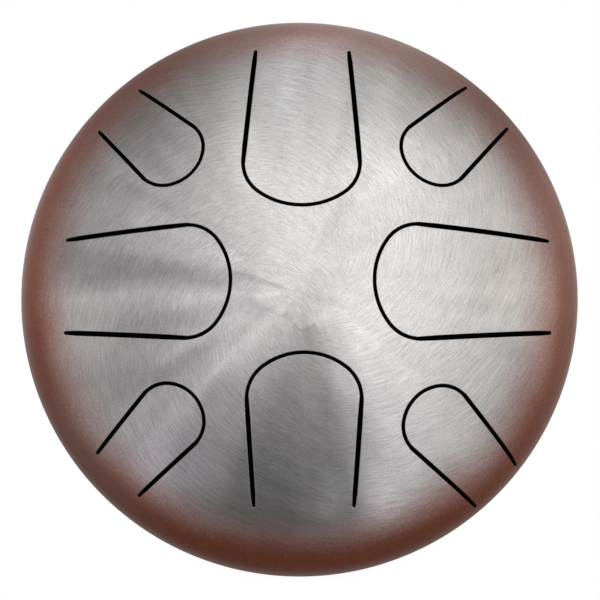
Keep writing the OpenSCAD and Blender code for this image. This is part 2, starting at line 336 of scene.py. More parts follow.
class Solid:
    """Collects corners and faces, each face with its own corner normals, and turns them into an object."""

    def __init__(self):
        self.points, self.faces, self.normals, self.hidden = [], [], [], []
        self.count = 0

    def add_points(self, points):
        first = self.count
        self.points.append(np.asarray(points, float))
        self.count += len(points)
        return np.arange(first, self.count)

    def add_faces(self, faces, normals, hidden=False):
        """faces: rows of corner indices. normals: one for each corner of each face, in the same shape.
        A face may be given either way round: build() turns it to agree with its normals.
        Hidden faces, inside the drum, get the object's second material."""
        self.faces += [list(map(int, face)) for face in faces]
        self.normals += [np.asarray(face, float) for face in normals]
        self.hidden += [hidden] * len(faces)

    def add_strip(self, row_a, row_b, normals_a, normals_b, closed, hidden=False):
        """Quads between two rows of corners."""
        n = len(row_a)
        i = np.arange(n if closed else n - 1)
        j = (i + 1) % n
        faces = np.column_stack([row_a[i], row_b[i], row_b[j], row_a[j]])
        normals = np.stack([normals_a[i], normals_b[i], normals_b[j], normals_a[j]], axis=1)
        self.add_faces(faces, normals, hidden)

    def build(self, name):
        points = np.vstack(self.points)
        faces, normals = [], []
        for face, corner_normals in zip(self.faces, self.normals):
            corners = points[face]
            facing = np.cross(corners, np.roll(corners, -1, axis=0)).sum(0)
            way = 1 if facing @ corner_normals.sum(0) > 0 else -1
            faces.append(face[::way])
            normals += corner_normals[::way].tolist()
        mesh = bpy.data.meshes.new(name)
        mesh.from_pydata((points * MM).tolist(), [], faces)
        mesh.shade_smooth()
        mesh.normals_split_custom_set(normals)
        mesh.polygons.foreach_set("material_index", self.hidden)
        piece = bpy.data.objects.new(name, mesh)
        bpy.context.scene.collection.objects.link(piece)
        return piece


def add_slot_walls(solid, points, steel, top_row, bottom_row):
    """Rounds the sheet's edge over into a slot and takes the slot's wall down to the sheet's underside.
    Yields each new row of corners in the rounded edge."""
    into_slot = np.column_stack([-steel, np.zeros(len(steel))])
    row = top_row
    _, normals = on_dome(points + EDGE_ROUND * steel, 0)
    for step in range(1, EDGE_STEPS + 1):
        turn = step / EDGE_STEPS * math.pi / 2
        place, up = on_dome(points + EDGE_ROUND * (1 - math.sin(turn)) * steel, 0)
        place[:, 2] -= EDGE_ROUND * (1 - math.cos(turn))
        next_row = solid.add_points(place)
        next_normals = up * math.cos(turn) + into_slot * math.sin(turn)
        next_normals /= np.linalg.norm(next_normals, axis=1)[:, None]
        solid.add_strip(row, next_row, normals, next_normals, False)
        row, normals = next_row, next_normals
        yield row
    solid.add_strip(row, bottom_row, into_slot, into_slot, False, hidden=True)


def add_bend_face(solid, top, bottom, start_rows, end_rows, facing):
    """The upright face under a bend line, where the shell and a tongue touch."""
    faces = [[*([top[0]] + start_rows), bottom[0], bottom[1], top[1]]]
    faces += [[top[i], bottom[i], bottom[i + 1], top[i + 1]] for i in range(1, len(top) - 2)]
    faces.append([top[-2], bottom[-2], bottom[-1], *reversed([top[-1]] + end_rows)])
    for face in faces:
        solid.add_faces([face], [np.tile(facing, (len(face), 1))])


def make_top_part(sheet, owner):
    """The top shell, or one tongue, cut from the sheet and given its thickness."""
    solid = Solid()
    triangles = sheet.faces[sheet.owner == owner]
    used, local = np.unique(triangles, return_inverse=True)
    local = local.reshape(triangles.shape)
    outside, outside_up = on_dome(sheet.plan[used], 0)
    inside_points, inside_up = on_dome(sheet.under_plan[used], SHEET)
    top = solid.add_points(outside)
    bottom = solid.add_points(inside_points)
    solid.add_faces(top[local], outside_up[local])
    solid.add_faces(bottom[local], -inside_up[local], hidden=True)
    place = np.full(len(sheet.plan), -1)
    place[used] = np.arange(len(used))
    for name, (points, steel, bend_a, bend_b) in sheet.loops.items():
        if owner not in (name, "top_shell"):
            continue
        n = len(points)
        of_tongue = np.arange(bend_a, bend_b + 1)
        of_shell = np.arange(bend_b, bend_a + n + 1) % n
        order = of_tongue if owner == name else of_shell
        corners = place[sheet.loop_start[name] + order]
        rows = list(add_slot_walls(solid, points[order], steel[order], top[corners], bottom[corners]))
        line = place[sheet.bend_line[name]]
        edges = [[row[0] for row in rows], [row[-1] for row in rows]]
        angle = math.radians(TONGUES[name][0])
        outward = np.array([math.cos(angle), math.sin(angle), 0])
        if owner == name:
            add_bend_face(solid, top[line], bottom[line], *edges, outward)
        else:
            add_bend_face(solid, top[line], bottom[line], *reversed(edges), -outward)
    if owner == "top_shell":
        add_rim(solid, top[place[:RIM_SEGMENTS]], bottom[place[:RIM_SEGMENTS]])
    return solid.build(owner + "_steel")


def add_rim(solid, top_ring, bottom_ring):
    """The knuckle outside the slots, the straight rim and the rim's lower edge."""
    around = rim_directions()
    rings = {}
    for depth, side, ring in ((0, 1, top_ring), (SHEET, -1, bottom_ring)):
        first = float(profile_angle(np.array(FLAT_R), depth))
        angles = np.linspace(first, math.pi / 2, LATHE_STEPS + 1)
        rows = [(ring, first)]
        for angle in angles[1:]:
            r, z = profile_point(np.array(angle), depth)
            points = np.column_stack([around * r, np.full(RIM_SEGMENTS, SEAM_Z + z)])
            rows.append((solid.add_points(points), angle))
        edge = np.column_stack([around * (SHELL_R - depth), np.full(RIM_SEGMENTS, SEAM_Z + WELD_TOP)])
        rows.append((solid.add_points(edge), math.pi / 2))
        for (row_a, angle_a), (row_b, angle_b) in zip(rows, rows[1:]):
            normals = [side * np.column_stack([around * math.sin(a), np.full(RIM_SEGMENTS, math.cos(a))])
                       for a in (angle_a, angle_b)]
            solid.add_strip(row_a, row_b, *normals, True, hidden=side < 0)
        rings[side] = rows[-1][0]
    down = np.tile([0.0, 0.0, -1.0], (RIM_SEGMENTS, 1))
    solid.add_strip(rings[1], rings[-1], down, down, True)


# ---- Materials ----

class Graph:
    """Short calls for building a node tree. Inputs may be sockets or values. Results are output sockets, but
    node() and shader_mix() return the node itself."""

    def __init__(self, tree, keep=False):
        self.tree = tree
        if not keep:
            tree.nodes.clear()

    def node(self, kind, settings=None, **inputs):
        made = self.tree.nodes.new(kind)
        for key, value in (settings or {}).items():
            setattr(made, key, value)
        for key, value in inputs.items():
            self.feed(made.inputs[key.replace("_", " ")], value)
        return made

    def feed(self, socket, value):
        if isinstance(value, bpy.types.NodeSocket):
            self.tree.links.new(value, socket)
        elif value is not None:
            if socket.type == "RGBA" and len(value) == 3:
                value = (*value, 1)
            socket.default_value = value

    def math(self, operation, a, b=None, c=None):
        made = self.tree.nodes.new("ShaderNodeMath")
        made.operation = operation
        for socket, value in zip(made.inputs, (a, b, c)):
            self.feed(socket, value)
        return made.outputs[0]

    def add(self, a, b):
        return self.math("ADD", a, b)

    def minus(self, a, b):
        return self.math("SUBTRACT", a, b)

    def times(self, a, b):
        return self.math("MULTIPLY", a, b)

    def rest(self, share):
        """What a share leaves of the whole."""
        return self.minus(1.0, share)

    def changed(self, value, place, change):
        """A value multiplied by 1 + change where place is 1, and left alone where place is 0."""
        return self.times(value, self.add(self.times(place, change), 1.0))

    def length(self, x, y):
        return self.math("SQRT", self.add(self.times(x, x), self.times(y, y)))

    def dot(self, a, b):
        made = self.tree.nodes.new("ShaderNodeVectorMath")
        made.operation = "DOT_PRODUCT"
        self.feed(made.inputs[0], a)
        self.feed(made.inputs[1], b)
        return made.outputs["Value"]

    def vector(self, x, y, z):
        return self.node("ShaderNodeCombineXYZ", X=x, Y=y, Z=z).outputs[0]

    def split(self, vector):
        return self.node("ShaderNodeSeparateXYZ", Vector=vector).outputs

    def grey(self, level):
        return self.node("ShaderNodeCombineColor", Red=level, Green=level, Blue=level).outputs[0]

    def step(self, value, low, high, low_result=0.0, high_result=1.0):
        """A smooth step from one result to the other as value goes from low to high."""
        made = self.tree.nodes.new("ShaderNodeMapRange")
        made.interpolation_type = "SMOOTHSTEP"
        for socket, given in zip(made.inputs, (value, low, high, low_result, high_result)):
            self.feed(socket, given)
        return made.outputs[0]

    def noise(self, vector, scale, detail=2.0, roughness=0.5):
        """Noise in 0..1 at a scale in cycles per unit of the vector."""
        return self.node("ShaderNodeTexNoise", {"noise_dimensions": "3D"}, Vector=vector, Scale=scale,
                         Detail=detail, Roughness=roughness).outputs[0]

    def ripple(self, vector, scale, detail=2.0, roughness=0.5, size=1.0):
        """Noise about zero, of the size given from its lowest to its highest."""
        return self.times(self.minus(self.noise(vector, scale, detail, roughness), 0.5), size)

    def bump(self, height, strength, distance):
        """A normal roughened by a height, at a distance in millimetres."""
        made = self.node("ShaderNodeBump", Strength=strength, Distance=distance * MM, Height=height)
        return made.outputs[0]

    def mix(self, share, a, b, blend="MIX"):
        made = self.tree.nodes.new("ShaderNodeMix")
        made.data_type, made.blend_type = "RGBA", blend
        for socket, value in ((made.inputs[0], share), (made.inputs[6], a), (made.inputs[7], b)):
            self.feed(socket, value)
        return made.outputs[2]

    def shader_mix(self, share, a, b):
        made = self.tree.nodes.new("ShaderNodeMixShader")
        for socket, value in zip(made.inputs, (share, a.outputs[0], b.outputs[0])):
            self.feed(socket, value)
        return made

    def bearing_bump(self, bearing, centre, width):
        """1 at a compass bearing, falling smoothly to 0 at half the width either side. The bearing is in
        radians, as nodes have it, and the centre and the width are in degrees."""
        away = self.minus(bearing, math.radians(centre))
        away = self.math("ABSOLUTE", self.math("WRAP", away, math.pi, -math.pi))
        return self.step(away, 0.0, math.radians(width) / 2, 1.0, 0.0)

    def bearing_box(self, bearing, low, high, soft_low, soft_high):
        """1 between two bearings, passing smoothly to 0 over a soft angle centred on each of them."""
        away = self.minus(bearing, math.radians((low + high) / 2))
        away = self.math("WRAP", away, math.pi, -math.pi)
        half, soft_low, soft_high = (math.radians(angle) / 2 for angle in (high - low, soft_low, soft_high))
        above = self.step(away, -half - soft_low, soft_low - half)
        below = self.step(away, half - soft_high, half + soft_high, 1.0, 0.0)
        return self.times(above, below)


def new_material(name):
    material = bpy.data.materials.new(name)
    material.use_nodes = True
    return material, Graph(material.node_tree)


def finish_material(g, shader):
    g.node("ShaderNodeOutputMaterial", Surface=shader.outputs[0])


def drum_coordinates(g):
    """Position in millimetres, as a vector and as x, y and z, distance from the drum's axis and bearing."""
    place = g.node("ShaderNodeTexCoord").outputs["Object"]
    scaled = g.node("ShaderNodeVectorMath", {"operation": "SCALE"}, Vector=place, Scale=1 / MM).outputs[0]
    x, y, z = g.split(scaled)
    return scaled, x, y, z, g.length(x, y), g.math("ARCTAN2", y, x)


BRUSH_SECTORS = 9
BRUSH_PIVOT = (-25.0, 42.0)     # inward and sideways from the drum's centre, in each sector's own directions
PIVOT_SHARES = (0.6, 1.4)       # each sector's pivot lies this much of the way out to BRUSH_PIVOT
BRUSH_WANDER = 10.0             # how far the arcs stray from round
SECTOR_WARP = 1.4               # how far the edges of the sectors stray, in radians
CENTRE_PIVOT = (-46.0, -58.0)   # pivot of the last strokes, across the drum's centre
CENTRE_EDGE = (9.6, 33.6)       # radii between which the last strokes give way to the fans
CENTRE_STRAY = 30.0             # how far that edge strays, for a ragged edge of 1
FAN_EDGE = (0.3, 0.7)           # shares between which one round of fans gives way to the other
# Width of each kind of scratch, how many go round an arc (more makes them shorter) and its contrast.
FINE_SCRATCHES = (0.38, 16.0, 0.52)
LONG_SCRATCHES = (0.60, 7.0, 0.15)
SOFT_BANDS = (8.0, 3.0)         # width of the soft bands along the arcs, and how many go round an arc
# How much the tone varies, each from its darkest to its lightest.
GRAIN_CONTRAST = 0.50
BAND_CONTRAST = 0.20
SECTOR_CONTRAST = 0.10
SWAY_CONTRAST = 0.30
SWAY_TURN = 1.2                 # how far the strokes' direction sways, in radians
SPECK_EDGE = (0.73, 0.80)       # levels of a noise between which a dark speck starts
SPECK_TONE = 0.72
# The point the painted reflection patches are centred on, and the bearing, width, inner and outer radius and
# change of tone of each patch: lighter and darker wedges painted into the steel, a painted reflection of the
# tent.
REFLECTION_PATCH_CENTRE_Y = -7.0
PAINTED_REFLECTION_PATCHES = [
    (55, 36, 70, 105, 0.14),
    (64, 36, 25, 55, -0.12),
    (113, 24, 55, 95, 0.16),
    (155, 24, 32, 95, 0.34),
    (162, 16, 5, 40, -0.22),
    (171, 20, 35, 130, -0.22),
    (182, 16, 10, 70, 0.14),
    (192, 16, 50, 92, -0.18),
    (203, 16, 30, 60, 0.14),
    (205, 20, 78, 112, -0.20),
    (211, 14, 50, 84, -0.16),
    (223, 26, 8, 60, 0.14),
    (232, 24, 50, 108, -0.24),
    (281, 26, 10, 90, -0.20),
    (294, 18, 55, 90, -0.20),
    (290, 20, 106, 132, 0.26),
    (324, 50, 10, 45, 0.14),
]
PATCH_EDGE = 8.0                # half the width of a patch's soft edge
PATCH_STRAY = 0.12              # how far its bearing strays, in radians, for a ragged edge of 1
STEEL_COLOUR = (0.71, 0.70, 0.686)
STEEL_ROUGHNESS = 0.28
STEEL_ANISOTROPY = 0.85
RAW_COLOURS = [(0.012, 0.011, 0.010), (0.035, 0.032, 0.030)]
LACQUER_COLOUR = (0.34, 0.084, 0.034)
LACQUER_METALLIC = 0.6
LACQUER_ROUGHNESS = 0.40
LACQUER_COAT = 0.45
COAT_ROUGHNESS = 0.2
# Radii where the spray starts and where it covers the steel, and how far its edge is speckled and wanders.
SPRAY_START = 109.0
SPRAY_END = 142.0
SPRAY_SPECKLE = 16.0
SPRAY_WANDER = 10.0
PAINTED_SHEEN_THINNING = [(60, 250, 0.28), (218, 60, 0.15)]     # bearing, width and how much thinner the lacquer is made: painted sheen, paling the copper where the tent is bright
SHEEN_FADE_R = SHELL_R - 4.0     # outside this, the painted sheen's thinning is cut to 0.3 of its depth, so the rim is almost as well covered as the rest
RIGHT_WARM_TINT = (20, 130, 75.0, 0.08)    # bearing and width of a faint copper tint inside the spray's edge at the right, radius where it starts, and its cover
WELD_RIPPLES = 420


def brush_fan(g, x, y, pivot_x, pivot_y):
    """Hand-brushed arcs about one pivot: streaks, soft bands and the direction across the arcs."""
    dx, dy = g.minus(x, pivot_x), g.minus(y, pivot_y)
    reach = g.length(dx, dy)
    unit_x, unit_y = g.math("DIVIDE", dx, reach), g.math("DIVIDE", dy, reach)

    def along_arcs(width, turns):
        return g.vector(g.times(unit_x, turns), g.times(unit_y, turns), g.times(reach, 1 / width))

    streaks = 0.0
    for width, turns, contrast in (FINE_SCRATCHES, LONG_SCRATCHES):
        streaks = g.add(g.ripple(along_arcs(width, turns), 1.0, 0.0, size=contrast), streaks)
    bands = g.noise(along_arcs(*SOFT_BANDS), 1.0, 2.0, 0.6)
    return streaks, bands, unit_x, unit_y


def brush_sector(g, x, y, bearing, offset):
    """A fan of hand-brushed arcs in each of the sectors round the drum, swung about the sector's own pivot.
    Returns what brush_fan does, the sector's tone, and the share of the surface that these fans take."""
    turn = g.add(g.times(bearing, BRUSH_SECTORS / math.tau), offset)
    index = g.math("ROUND", turn)
    middle = g.times(g.minus(index, offset), math.tau / BRUSH_SECTORS)
    share = g.rest(g.times(g.math("ABSOLUTE", g.minus(turn, index)), 2.0))
    seed = 7.3 + 5 * offset
    chance = g.node("ShaderNodeTexWhiteNoise", {"noise_dimensions": "1D"},
                    W=g.add(g.math("WRAP", index, BRUSH_SECTORS, 0.0), seed)).outputs["Value"]
    nearest, farthest = PIVOT_SHARES
    away = g.add(g.times(chance, farthest - nearest), nearest)
    inward, sideways = (g.times(away, distance) for distance in BRUSH_PIVOT)
    cos_m, sin_m = g.math("COSINE", middle), g.math("SINE", middle)
    pivot_x = g.minus(g.times(inward, cos_m), g.times(sideways, sin_m))
    pivot_y = g.add(g.times(inward, sin_m), g.times(sideways, cos_m))
    return (*brush_fan(g, x, y, pivot_x, pivot_y), chance, share)


def blended(g, share, a, b):
    """A share of each socket in one list, and the rest from the other list."""
    return [g.add(g.times(one, share), g.times(other, g.rest(share))) for one, other in zip(a, b)]


def brushing(g, x, y, radius, bearing, ragged):
    """Two overlapping rounds of fans, and the last strokes across the centre: streaks, bands, the direction
    across the strokes, and a tone for each fan."""
    ring = g.vector(g.math("COSINE", bearing), g.math("SINE", bearing), g.times(radius, 0.004))
    warped = g.add(bearing, g.ripple(ring, 1.3, size=SECTOR_WARP))
    stray_x, stray_y = (g.ripple(g.vector(x, y, layer), 0.02, 1.0, size=BRUSH_WANDER)
                        for layer in (0.0, 700.0))
    x, y = g.add(x, stray_x), g.add(y, stray_y)
    first, second = (brush_sector(g, x, y, warped, offset) for offset in (0.0, 0.5))
    share = g.step(g.add(first[5], ragged), *FAN_EDGE)
    around = blended(g, share, first[:5], second[:5])
    centre = (*brush_fan(g, x, y, *CENTRE_PIVOT), 0.5)
    ragged_radius = g.add(radius, g.times(ragged, CENTRE_STRAY))
    near_centre = g.step(ragged_radius, *CENTRE_EDGE, 1.0, 0.0)
    return blended(g, near_centre, centre, around)


def spray_cover(g, place, radius, bearing):
    """How much of the steel the lacquer covers: none inside SPRAY_START, nearly all of it at the rim, with
    a wandering, speckled edge. The lacquer is thinner in places, a painted sheen that pales the copper
    where the tent is bright, and a faint copper tint lies inside it at the right."""
    speckle = g.ripple(place, 0.9, 3.0, 0.8, SPRAY_SPECKLE)
    wander = g.ripple(place, 0.03, size=SPRAY_WANDER)
    sheen_thinning = 0.0
    # Painted sheen: the lacquer is thinned where the tent is bright, so the copper there looks paler.
    for middle, width, loss in PAINTED_SHEEN_THINNING:
        sheen_thinning = g.add(g.times(g.bearing_bump(bearing, middle, width), loss), sheen_thinning)
    sheen_thinning = g.times(sheen_thinning, g.step(radius, SPRAY_END, SHEEN_FADE_R, 1.0, 0.3))
    cover = g.step(g.add(g.add(radius, speckle), wander), SPRAY_START, SPRAY_END)
    middle, width, start, most = RIGHT_WARM_TINT
    warm_tint = g.times(g.bearing_bump(bearing, middle, width), g.step(radius, start, SPRAY_START, 0.0, most))
    return g.math("MINIMUM", g.add(g.times(cover, g.rest(sheen_thinning)), warm_tint), 1.0)


def lacquer_colour(g, place):
    shade = g.add(g.ripple(place, 0.8, 3.0, 0.8, 1.2), 1.0)
    return g.mix(1.0, LACQUER_COLOUR, g.grey(shade), "MULTIPLY")


def brushed_steel():
    """Light steel brushed by hand in fans of short arcs, with copper lacquer sprayed on round the rim."""
    material, g = new_material("brushed_steel")
    place, x, y, _, radius, bearing = drum_coordinates(g)
    ragged = g.ripple(place, 0.12, 3.0, 0.7, 0.8)
    streaks, bands, across_x, across_y, chance = brushing(g, x, y, radius, bearing, ragged)
    sway_place = g.vector(g.times(g.math("COSINE", bearing), 6.0), g.times(g.math("SINE", bearing), 6.0),
                          g.times(radius, 0.012))
    sway = g.ripple(sway_place, 1.0)
    tone = g.add(g.add(streaks, g.ripple(place, 1.4, 1.0, size=GRAIN_CONTRAST)), 1.0)
    tone = g.add(tone, g.times(g.minus(bands, 0.5), BAND_CONTRAST))
    tone = g.add(tone, g.times(g.minus(chance, 0.5), SECTOR_CONTRAST))
    tone = g.add(tone, g.times(sway, SWAY_CONTRAST))
    wedge_y = g.minus(y, REFLECTION_PATCH_CENTRE_Y)
    reach = g.length(x, wedge_y)
    wedge_bearing = g.add(g.math("ARCTAN2", wedge_y, x), g.times(ragged, PATCH_STRAY))
    # Painted reflection: each patch lightens or darkens the steel's tone in a wedge, in place of the tent's
    # bright and dull parts mirrored in the brushed steel.
    for middle, width, near, far, change in PAINTED_REFLECTION_PATCHES:
        patch = g.times(g.step(reach, near - PATCH_EDGE, near + PATCH_EDGE),
                        g.step(reach, far - PATCH_EDGE, far + PATCH_EDGE, 1.0, 0.0))
        tone = g.changed(tone, g.times(g.bearing_bump(wedge_bearing, middle, width), patch), change)
    tone = g.times(tone, g.step(g.noise(place, 0.9, 1.0), *SPECK_EDGE, 1.0, SPECK_TONE))
    steel = g.mix(1.0, STEEL_COLOUR, g.grey(tone), "MULTIPLY")
    across = g.node("ShaderNodeVectorRotate", {"rotation_type": "Z_AXIS"},
                    Vector=g.vector(across_x, across_y, 0.0), Angle=g.times(sway, SWAY_TURN)).outputs[0]
    cover = spray_cover(g, place, radius, bearing)
    roughness = g.step(cover, 0.0, 1.0, STEEL_ROUGHNESS, LACQUER_ROUGHNESS)
    shader = g.node("ShaderNodeBsdfPrincipled", Base_Color=g.mix(cover, steel, lacquer_colour(g, place)),
                    Metallic=g.step(cover, 0.0, 1.0, 1.0, LACQUER_METALLIC),
                    Roughness=g.add(roughness, g.times(bands, 0.05)),
                    Anisotropic=g.step(cover, 0.0, 1.0, STEEL_ANISOTROPY, 0.0),
                    Tangent=across, Normal=g.bump(streaks, 0.3, 0.03),
                    Coat_Weight=g.times(cover, LACQUER_COAT), Coat_Roughness=COAT_ROUGHNESS)
    finish_material(g, shader)
    return material


def raw_steel():
    """The drum's dull, dark inside."""
    material, g = new_material("raw_steel")
    place = drum_coordinates(g)[0]
    scale = g.noise(place, 0.12, 4.0, 0.65)
    shader = g.node("ShaderNodeBsdfPrincipled", Base_Color=g.mix(scale, *RAW_COLOURS), Metallic=0.4,
                    Roughness=g.add(g.times(scale, 0.2), 0.6),
                    Normal=g.bump(g.noise(place, 0.8, 3.0), 0.3, 0.1))
    finish_material(g, shader)
    return material


def copper_lacquer():
    """Copper-brown lacquer sprayed over steel, with a fine orange-peel surface. Faces that look in at the
    drum's centre were never sprayed, and are as dark and dull as the rest of the inside."""
    material, g = new_material("copper_lacquer")
    place, x, y, z, _, _ = drum_coordinates(g)
    normal = g.node("ShaderNodeTexCoord").outputs["Normal"]
    outward = g.math("GREATER_THAN", g.dot(normal, g.vector(x, y, g.minus(z, SEAM_Z))), 0.0)
    shader = g.node("ShaderNodeBsdfPrincipled", Metallic=LACQUER_METALLIC,
                    Base_Color=g.mix(outward, RAW_COLOURS[1], lacquer_colour(g, place)),
                    Roughness=g.add(g.times(g.noise(place, 0.1, 3.0), 0.1), LACQUER_ROUGHNESS - 0.01),
                    Normal=g.bump(g.noise(place, 0.7, 2.0), 0.15, 0.1),
                    Coat_Weight=g.times(outward, LACQUER_COAT), Coat_Roughness=COAT_ROUGHNESS)
    finish_material(g, shader)
    return material


def lacquered_weld():
    """The ground weld under the lacquer: faint ripples run round it."""
    material = copper_lacquer()
    material.name = "lacquered_weld"
    g = Graph(material.node_tree, keep=True)
    place, _, _, z, _, bearing = drum_coordinates(g)
    wander = g.times(g.noise(place, 0.15, 2.0), 2.5)
    height = g.math("SINE", g.add(g.times(bearing, WELD_RIPPLES), g.add(g.times(z, 1.2), wander)))
    bump = g.node("ShaderNodeBump", Strength=0.5, Distance=0.1 * MM, Height=height)
    shader = next(node for node in material.node_tree.nodes if node.type == "BSDF_PRINCIPLED")
    g.feed(bump.inputs["Normal"], shader.inputs["Normal"].links[0].from_socket)
    g.feed(shader.inputs["Normal"], bump.outputs[0])
    return material


def black_rubber():
    """Moulded rubber with a fine grain."""
    material, g = new_material("black_rubber")
    place = drum_coordinates(g)[0]
    colour = g.mix(g.noise(place, 0.4, 3.0), (0.016, 0.016, 0.017), (0.030, 0.029, 0.028))
    shader = g.node("ShaderNodeBsdfPrincipled", Base_Color=colour,
                    Roughness=g.add(g.times(g.noise(place, 0.6, 2.0), 0.15), 0.55),
                    Normal=g.bump(g.noise(place, 3.0, 3.0), 0.35, 0.08))
    finish_material(g, shader)
    return material


def zinc_plate():
    """Zinc-plated steel with a faint spangle."""
    material, g = new_material("zinc_plate")
    place = drum_coordinates(g)[0]
    spangle = g.noise(place, 0.9, 3.0)
    shader = g.node("ShaderNodeBsdfPrincipled", Metallic=1.0,
                    Base_Color=g.mix(spangle, (0.52, 0.53, 0.54), (0.68, 0.68, 0.67)),
                    Roughness=g.add(g.times(spangle, 0.15), 0.28),
                    Normal=g.bump(g.noise(place, 4.0, 2.0), 0.2, 0.05))
    finish_material(g, shader)
    return material


# ---- Pieces ----

SLOT_MATERIALS = {
    "brushed_steel": brushed_steel(),
    "copper_lacquer": copper_lacquer(),
    "rubber": black_rubber(),
    "zinc_plate": zinc_plate(),
}
RAW_STEEL = raw_steel()
OWN_MATERIALS = {"seam_weld": lacquered_weld()}
NODE_SLOTS = {part["node"]: part["material_slot"] for part in frame["record"]["subparts"]}


def bend_with_tongue(piece, name):
    """Bakes a tongue's placement into its mesh."""
    angle, shift, tip, root = TONGUES[name][:4]
    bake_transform(piece)


def make_top():
    """The top shell and its tongues, in place of the CAD's."""
    sheet = Sheet()
    for name in ["top_shell"] + list(TONGUES):
        piece = make_top_part(sheet, name)
        piece.data.materials.append(SLOT_MATERIALS["brushed_steel"])
        piece.data.materials.append(RAW_STEEL)
        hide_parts(name)
        if name == "top_shell":
            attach(piece, "shell")
        else:
            bend_with_tongue(piece, name)


def finish_nodes():
    """Gives the CAD's own nodes, where they are still shown, their materials."""
    for name, node in frame["nodes"].items():
        if node.hide_render:
            continue
        node.data.materials.clear()
        node.data.materials.append(OWN_MATERIALS.get(name, SLOT_MATERIALS[NODE_SLOTS[name]]))


# ---- Floor, light and camera. Bearings are in degrees, anticlockwise from +X ----

CAMERA_ELEVATION = math.radians(83.55)
CAMERA_DISTANCE = 5 * SHELL_R
CAMERA_LENS = 82.46
CAMERA_SENSOR = 36.0
AIM_RIGHT = 0.00175 * SHELL_R
AIM_UP = -0.01367 * SHELL_R

FLOOR_HALF = 6.0                # metres
SHADOW_EDGE = (100.0, 165.0)    # radii between which the floor turns from paper with a shadow to plain white
PAINTED_PORT_SHADOW = (40.0, 70.0)        # radii between which the floor's painted shadow under the sound port, a near-black patch, turns pale
SWEEP_START = (60.0, 160.0)     # radii between which the lit sweep comes out from under the drum
NEAR_SWEEP = (190.0, 300.0, 0.14)   # radii between which an extra brightness near the drum fades

# How bright the white sweep is in front of the drum and behind it, on the floor and at the horizon.
FLOOR_LEVELS = (0.14, 0.62)
HORIZON_LEVELS = (0.14, 0.75)
HORIZON = (74, 94)              # angles down from straight above between which the tent passes into the sweep
SWEEP_BACK = (83, 350)          # bearing and width of its bright part
# Bearing, width and change of the duller and brighter places in the sweep.
SWEEP_SHADES = [
    (122, 84, -0.65),
    (47, 60, -0.65),
    (176, 50, 0.30),
]

# Of each side of the tent: angles down from straight above between which it fades, and its brightness above
# and below.
BRIGHT_SIDE = (28, 64, 1.12, 0.40)
DULL_SIDE = (0, 38, 1.22, 0.40)
BRIGHT_BEARINGS = (-44, 133, 110, 44)   # where the bright side starts and ends, and how softly
DULL_TINT = (1.02, 0.985, 1.02)
# Bearing and width of two broad glows in the bright side, where they start and end, and their brightness.
GLOWS = [(75, 110), (53, 54)]
GLOW_TOP = (14, 34)
GLOW_BOTTOM = (46, 62)
GLOW_LEVEL = 0.25
# Upright edges meet a little behind straight above, where the drum's centre mirrors the camera.
UPRIGHT_X, UPRIGHT_Y = 0.04, 0.13
# Bearing, width, top, bottom (as angles down from straight above) and change of the tent's panels.
SIDE_PANELS = [
    (16, 40, 22, 50, -0.13),
    (52, 24, 58, 76, -0.25),
    (326, 60, 8, 34, 0.15),
]
PANEL_EDGE = 6
GAP = (243, 285, 20, 7)         # bearings where the dark gap starts and ends, and how softly
GAP_DEPTH = 0.85
# Bearing, width, upper edge (as an angle down from straight above) and change of the tent's shades, which
# reach down to the sweep.
TENT_SHADES = [
    (124, 84, 57, -0.8),
    (48, 56, 74, -0.5),
]
SHADE_EDGE = 9
SHADE_BOTTOM = (90, 104)
# Bearing, angle down from straight above, size, strength and tint of each soft box.
SOFT_BOXES = [
    (90, 80, 0.22, 1.8, (0.86, 0.81, 1.0)),
    (0, 74, 0.26, 1.7, (1.0, 0.90, 0.82)),
    (180, 74, 0.26, 0.7, (1.0, 0.95, 0.90)),
    (226, 58, 0.25, 0.48, (0.76, 0.72, 1.0)),
    (298, 50, 0.25, 0.55, (0.86, 0.85, 1.0)),
    (24, 64, 0.30, 0.36, (1.0, 0.98, 0.95)),
]


def sweep_level(g, bearing, front, back):
    """How bright the white sweep is at a bearing, from its level in front of the drum to that behind it."""
    level = g.step(g.bearing_bump(bearing, *SWEEP_BACK), 0.0, 1.0, front, back)
    for middle, width, change in SWEEP_SHADES:
        level = g.changed(level, g.bearing_bump(bearing, middle, width), change)
    return level


def make_floor():
    """A pale floor. The camera sees the drum's soft shadow close to the feet, a near-black painted shadow
    under the sound port, and plain white farther out; the drum sees a lit sweep."""
    size = FLOOR_HALF
    mesh = bpy.data.meshes.new("floor")
    corners = [(-size, -size, 0), (size, -size, 0), (size, size, 0), (-size, size, 0)]
    mesh.from_pydata(corners, [], [(0, 1, 2, 3)])
    floor = bpy.data.objects.new("floor", mesh)
    bpy.context.scene.collection.objects.link(floor)
    material, g = new_material("floor")
    place, _, _, _, radius, bearing = drum_coordinates(g)
    pale = g.mix(g.noise(place, 0.4, 3.0), (0.78, 0.78, 0.78), (0.84, 0.84, 0.84))
    # The paper under the sound port is near-black: a painted shadow that keeps the slots dark.
    paper = g.node("ShaderNodeBsdfDiffuse", Color=g.mix(g.step(radius, *PAINTED_PORT_SHADOW), (0.01, 0.01, 0.01), pale))
    white = g.node("ShaderNodeEmission", Color=(1, 1, 1), Strength=1.0)
    near, far, extra = NEAR_SWEEP
    level = g.add(sweep_level(g, bearing, *FLOOR_LEVELS), g.step(radius, near, far, extra, 0.0))
    lit = g.node("ShaderNodeEmission", Color=(1, 1, 1), Strength=g.times(level, g.step(radius, *SWEEP_START)))
    to_camera = g.shader_mix(g.step(radius, *SHADOW_EDGE), paper, white)
    seen = g.node("ShaderNodeLightPath").outputs["Is Camera Ray"]
    finish_material(g, g.shader_mix(seen, lit, to_camera))
    mesh.materials.append(material)


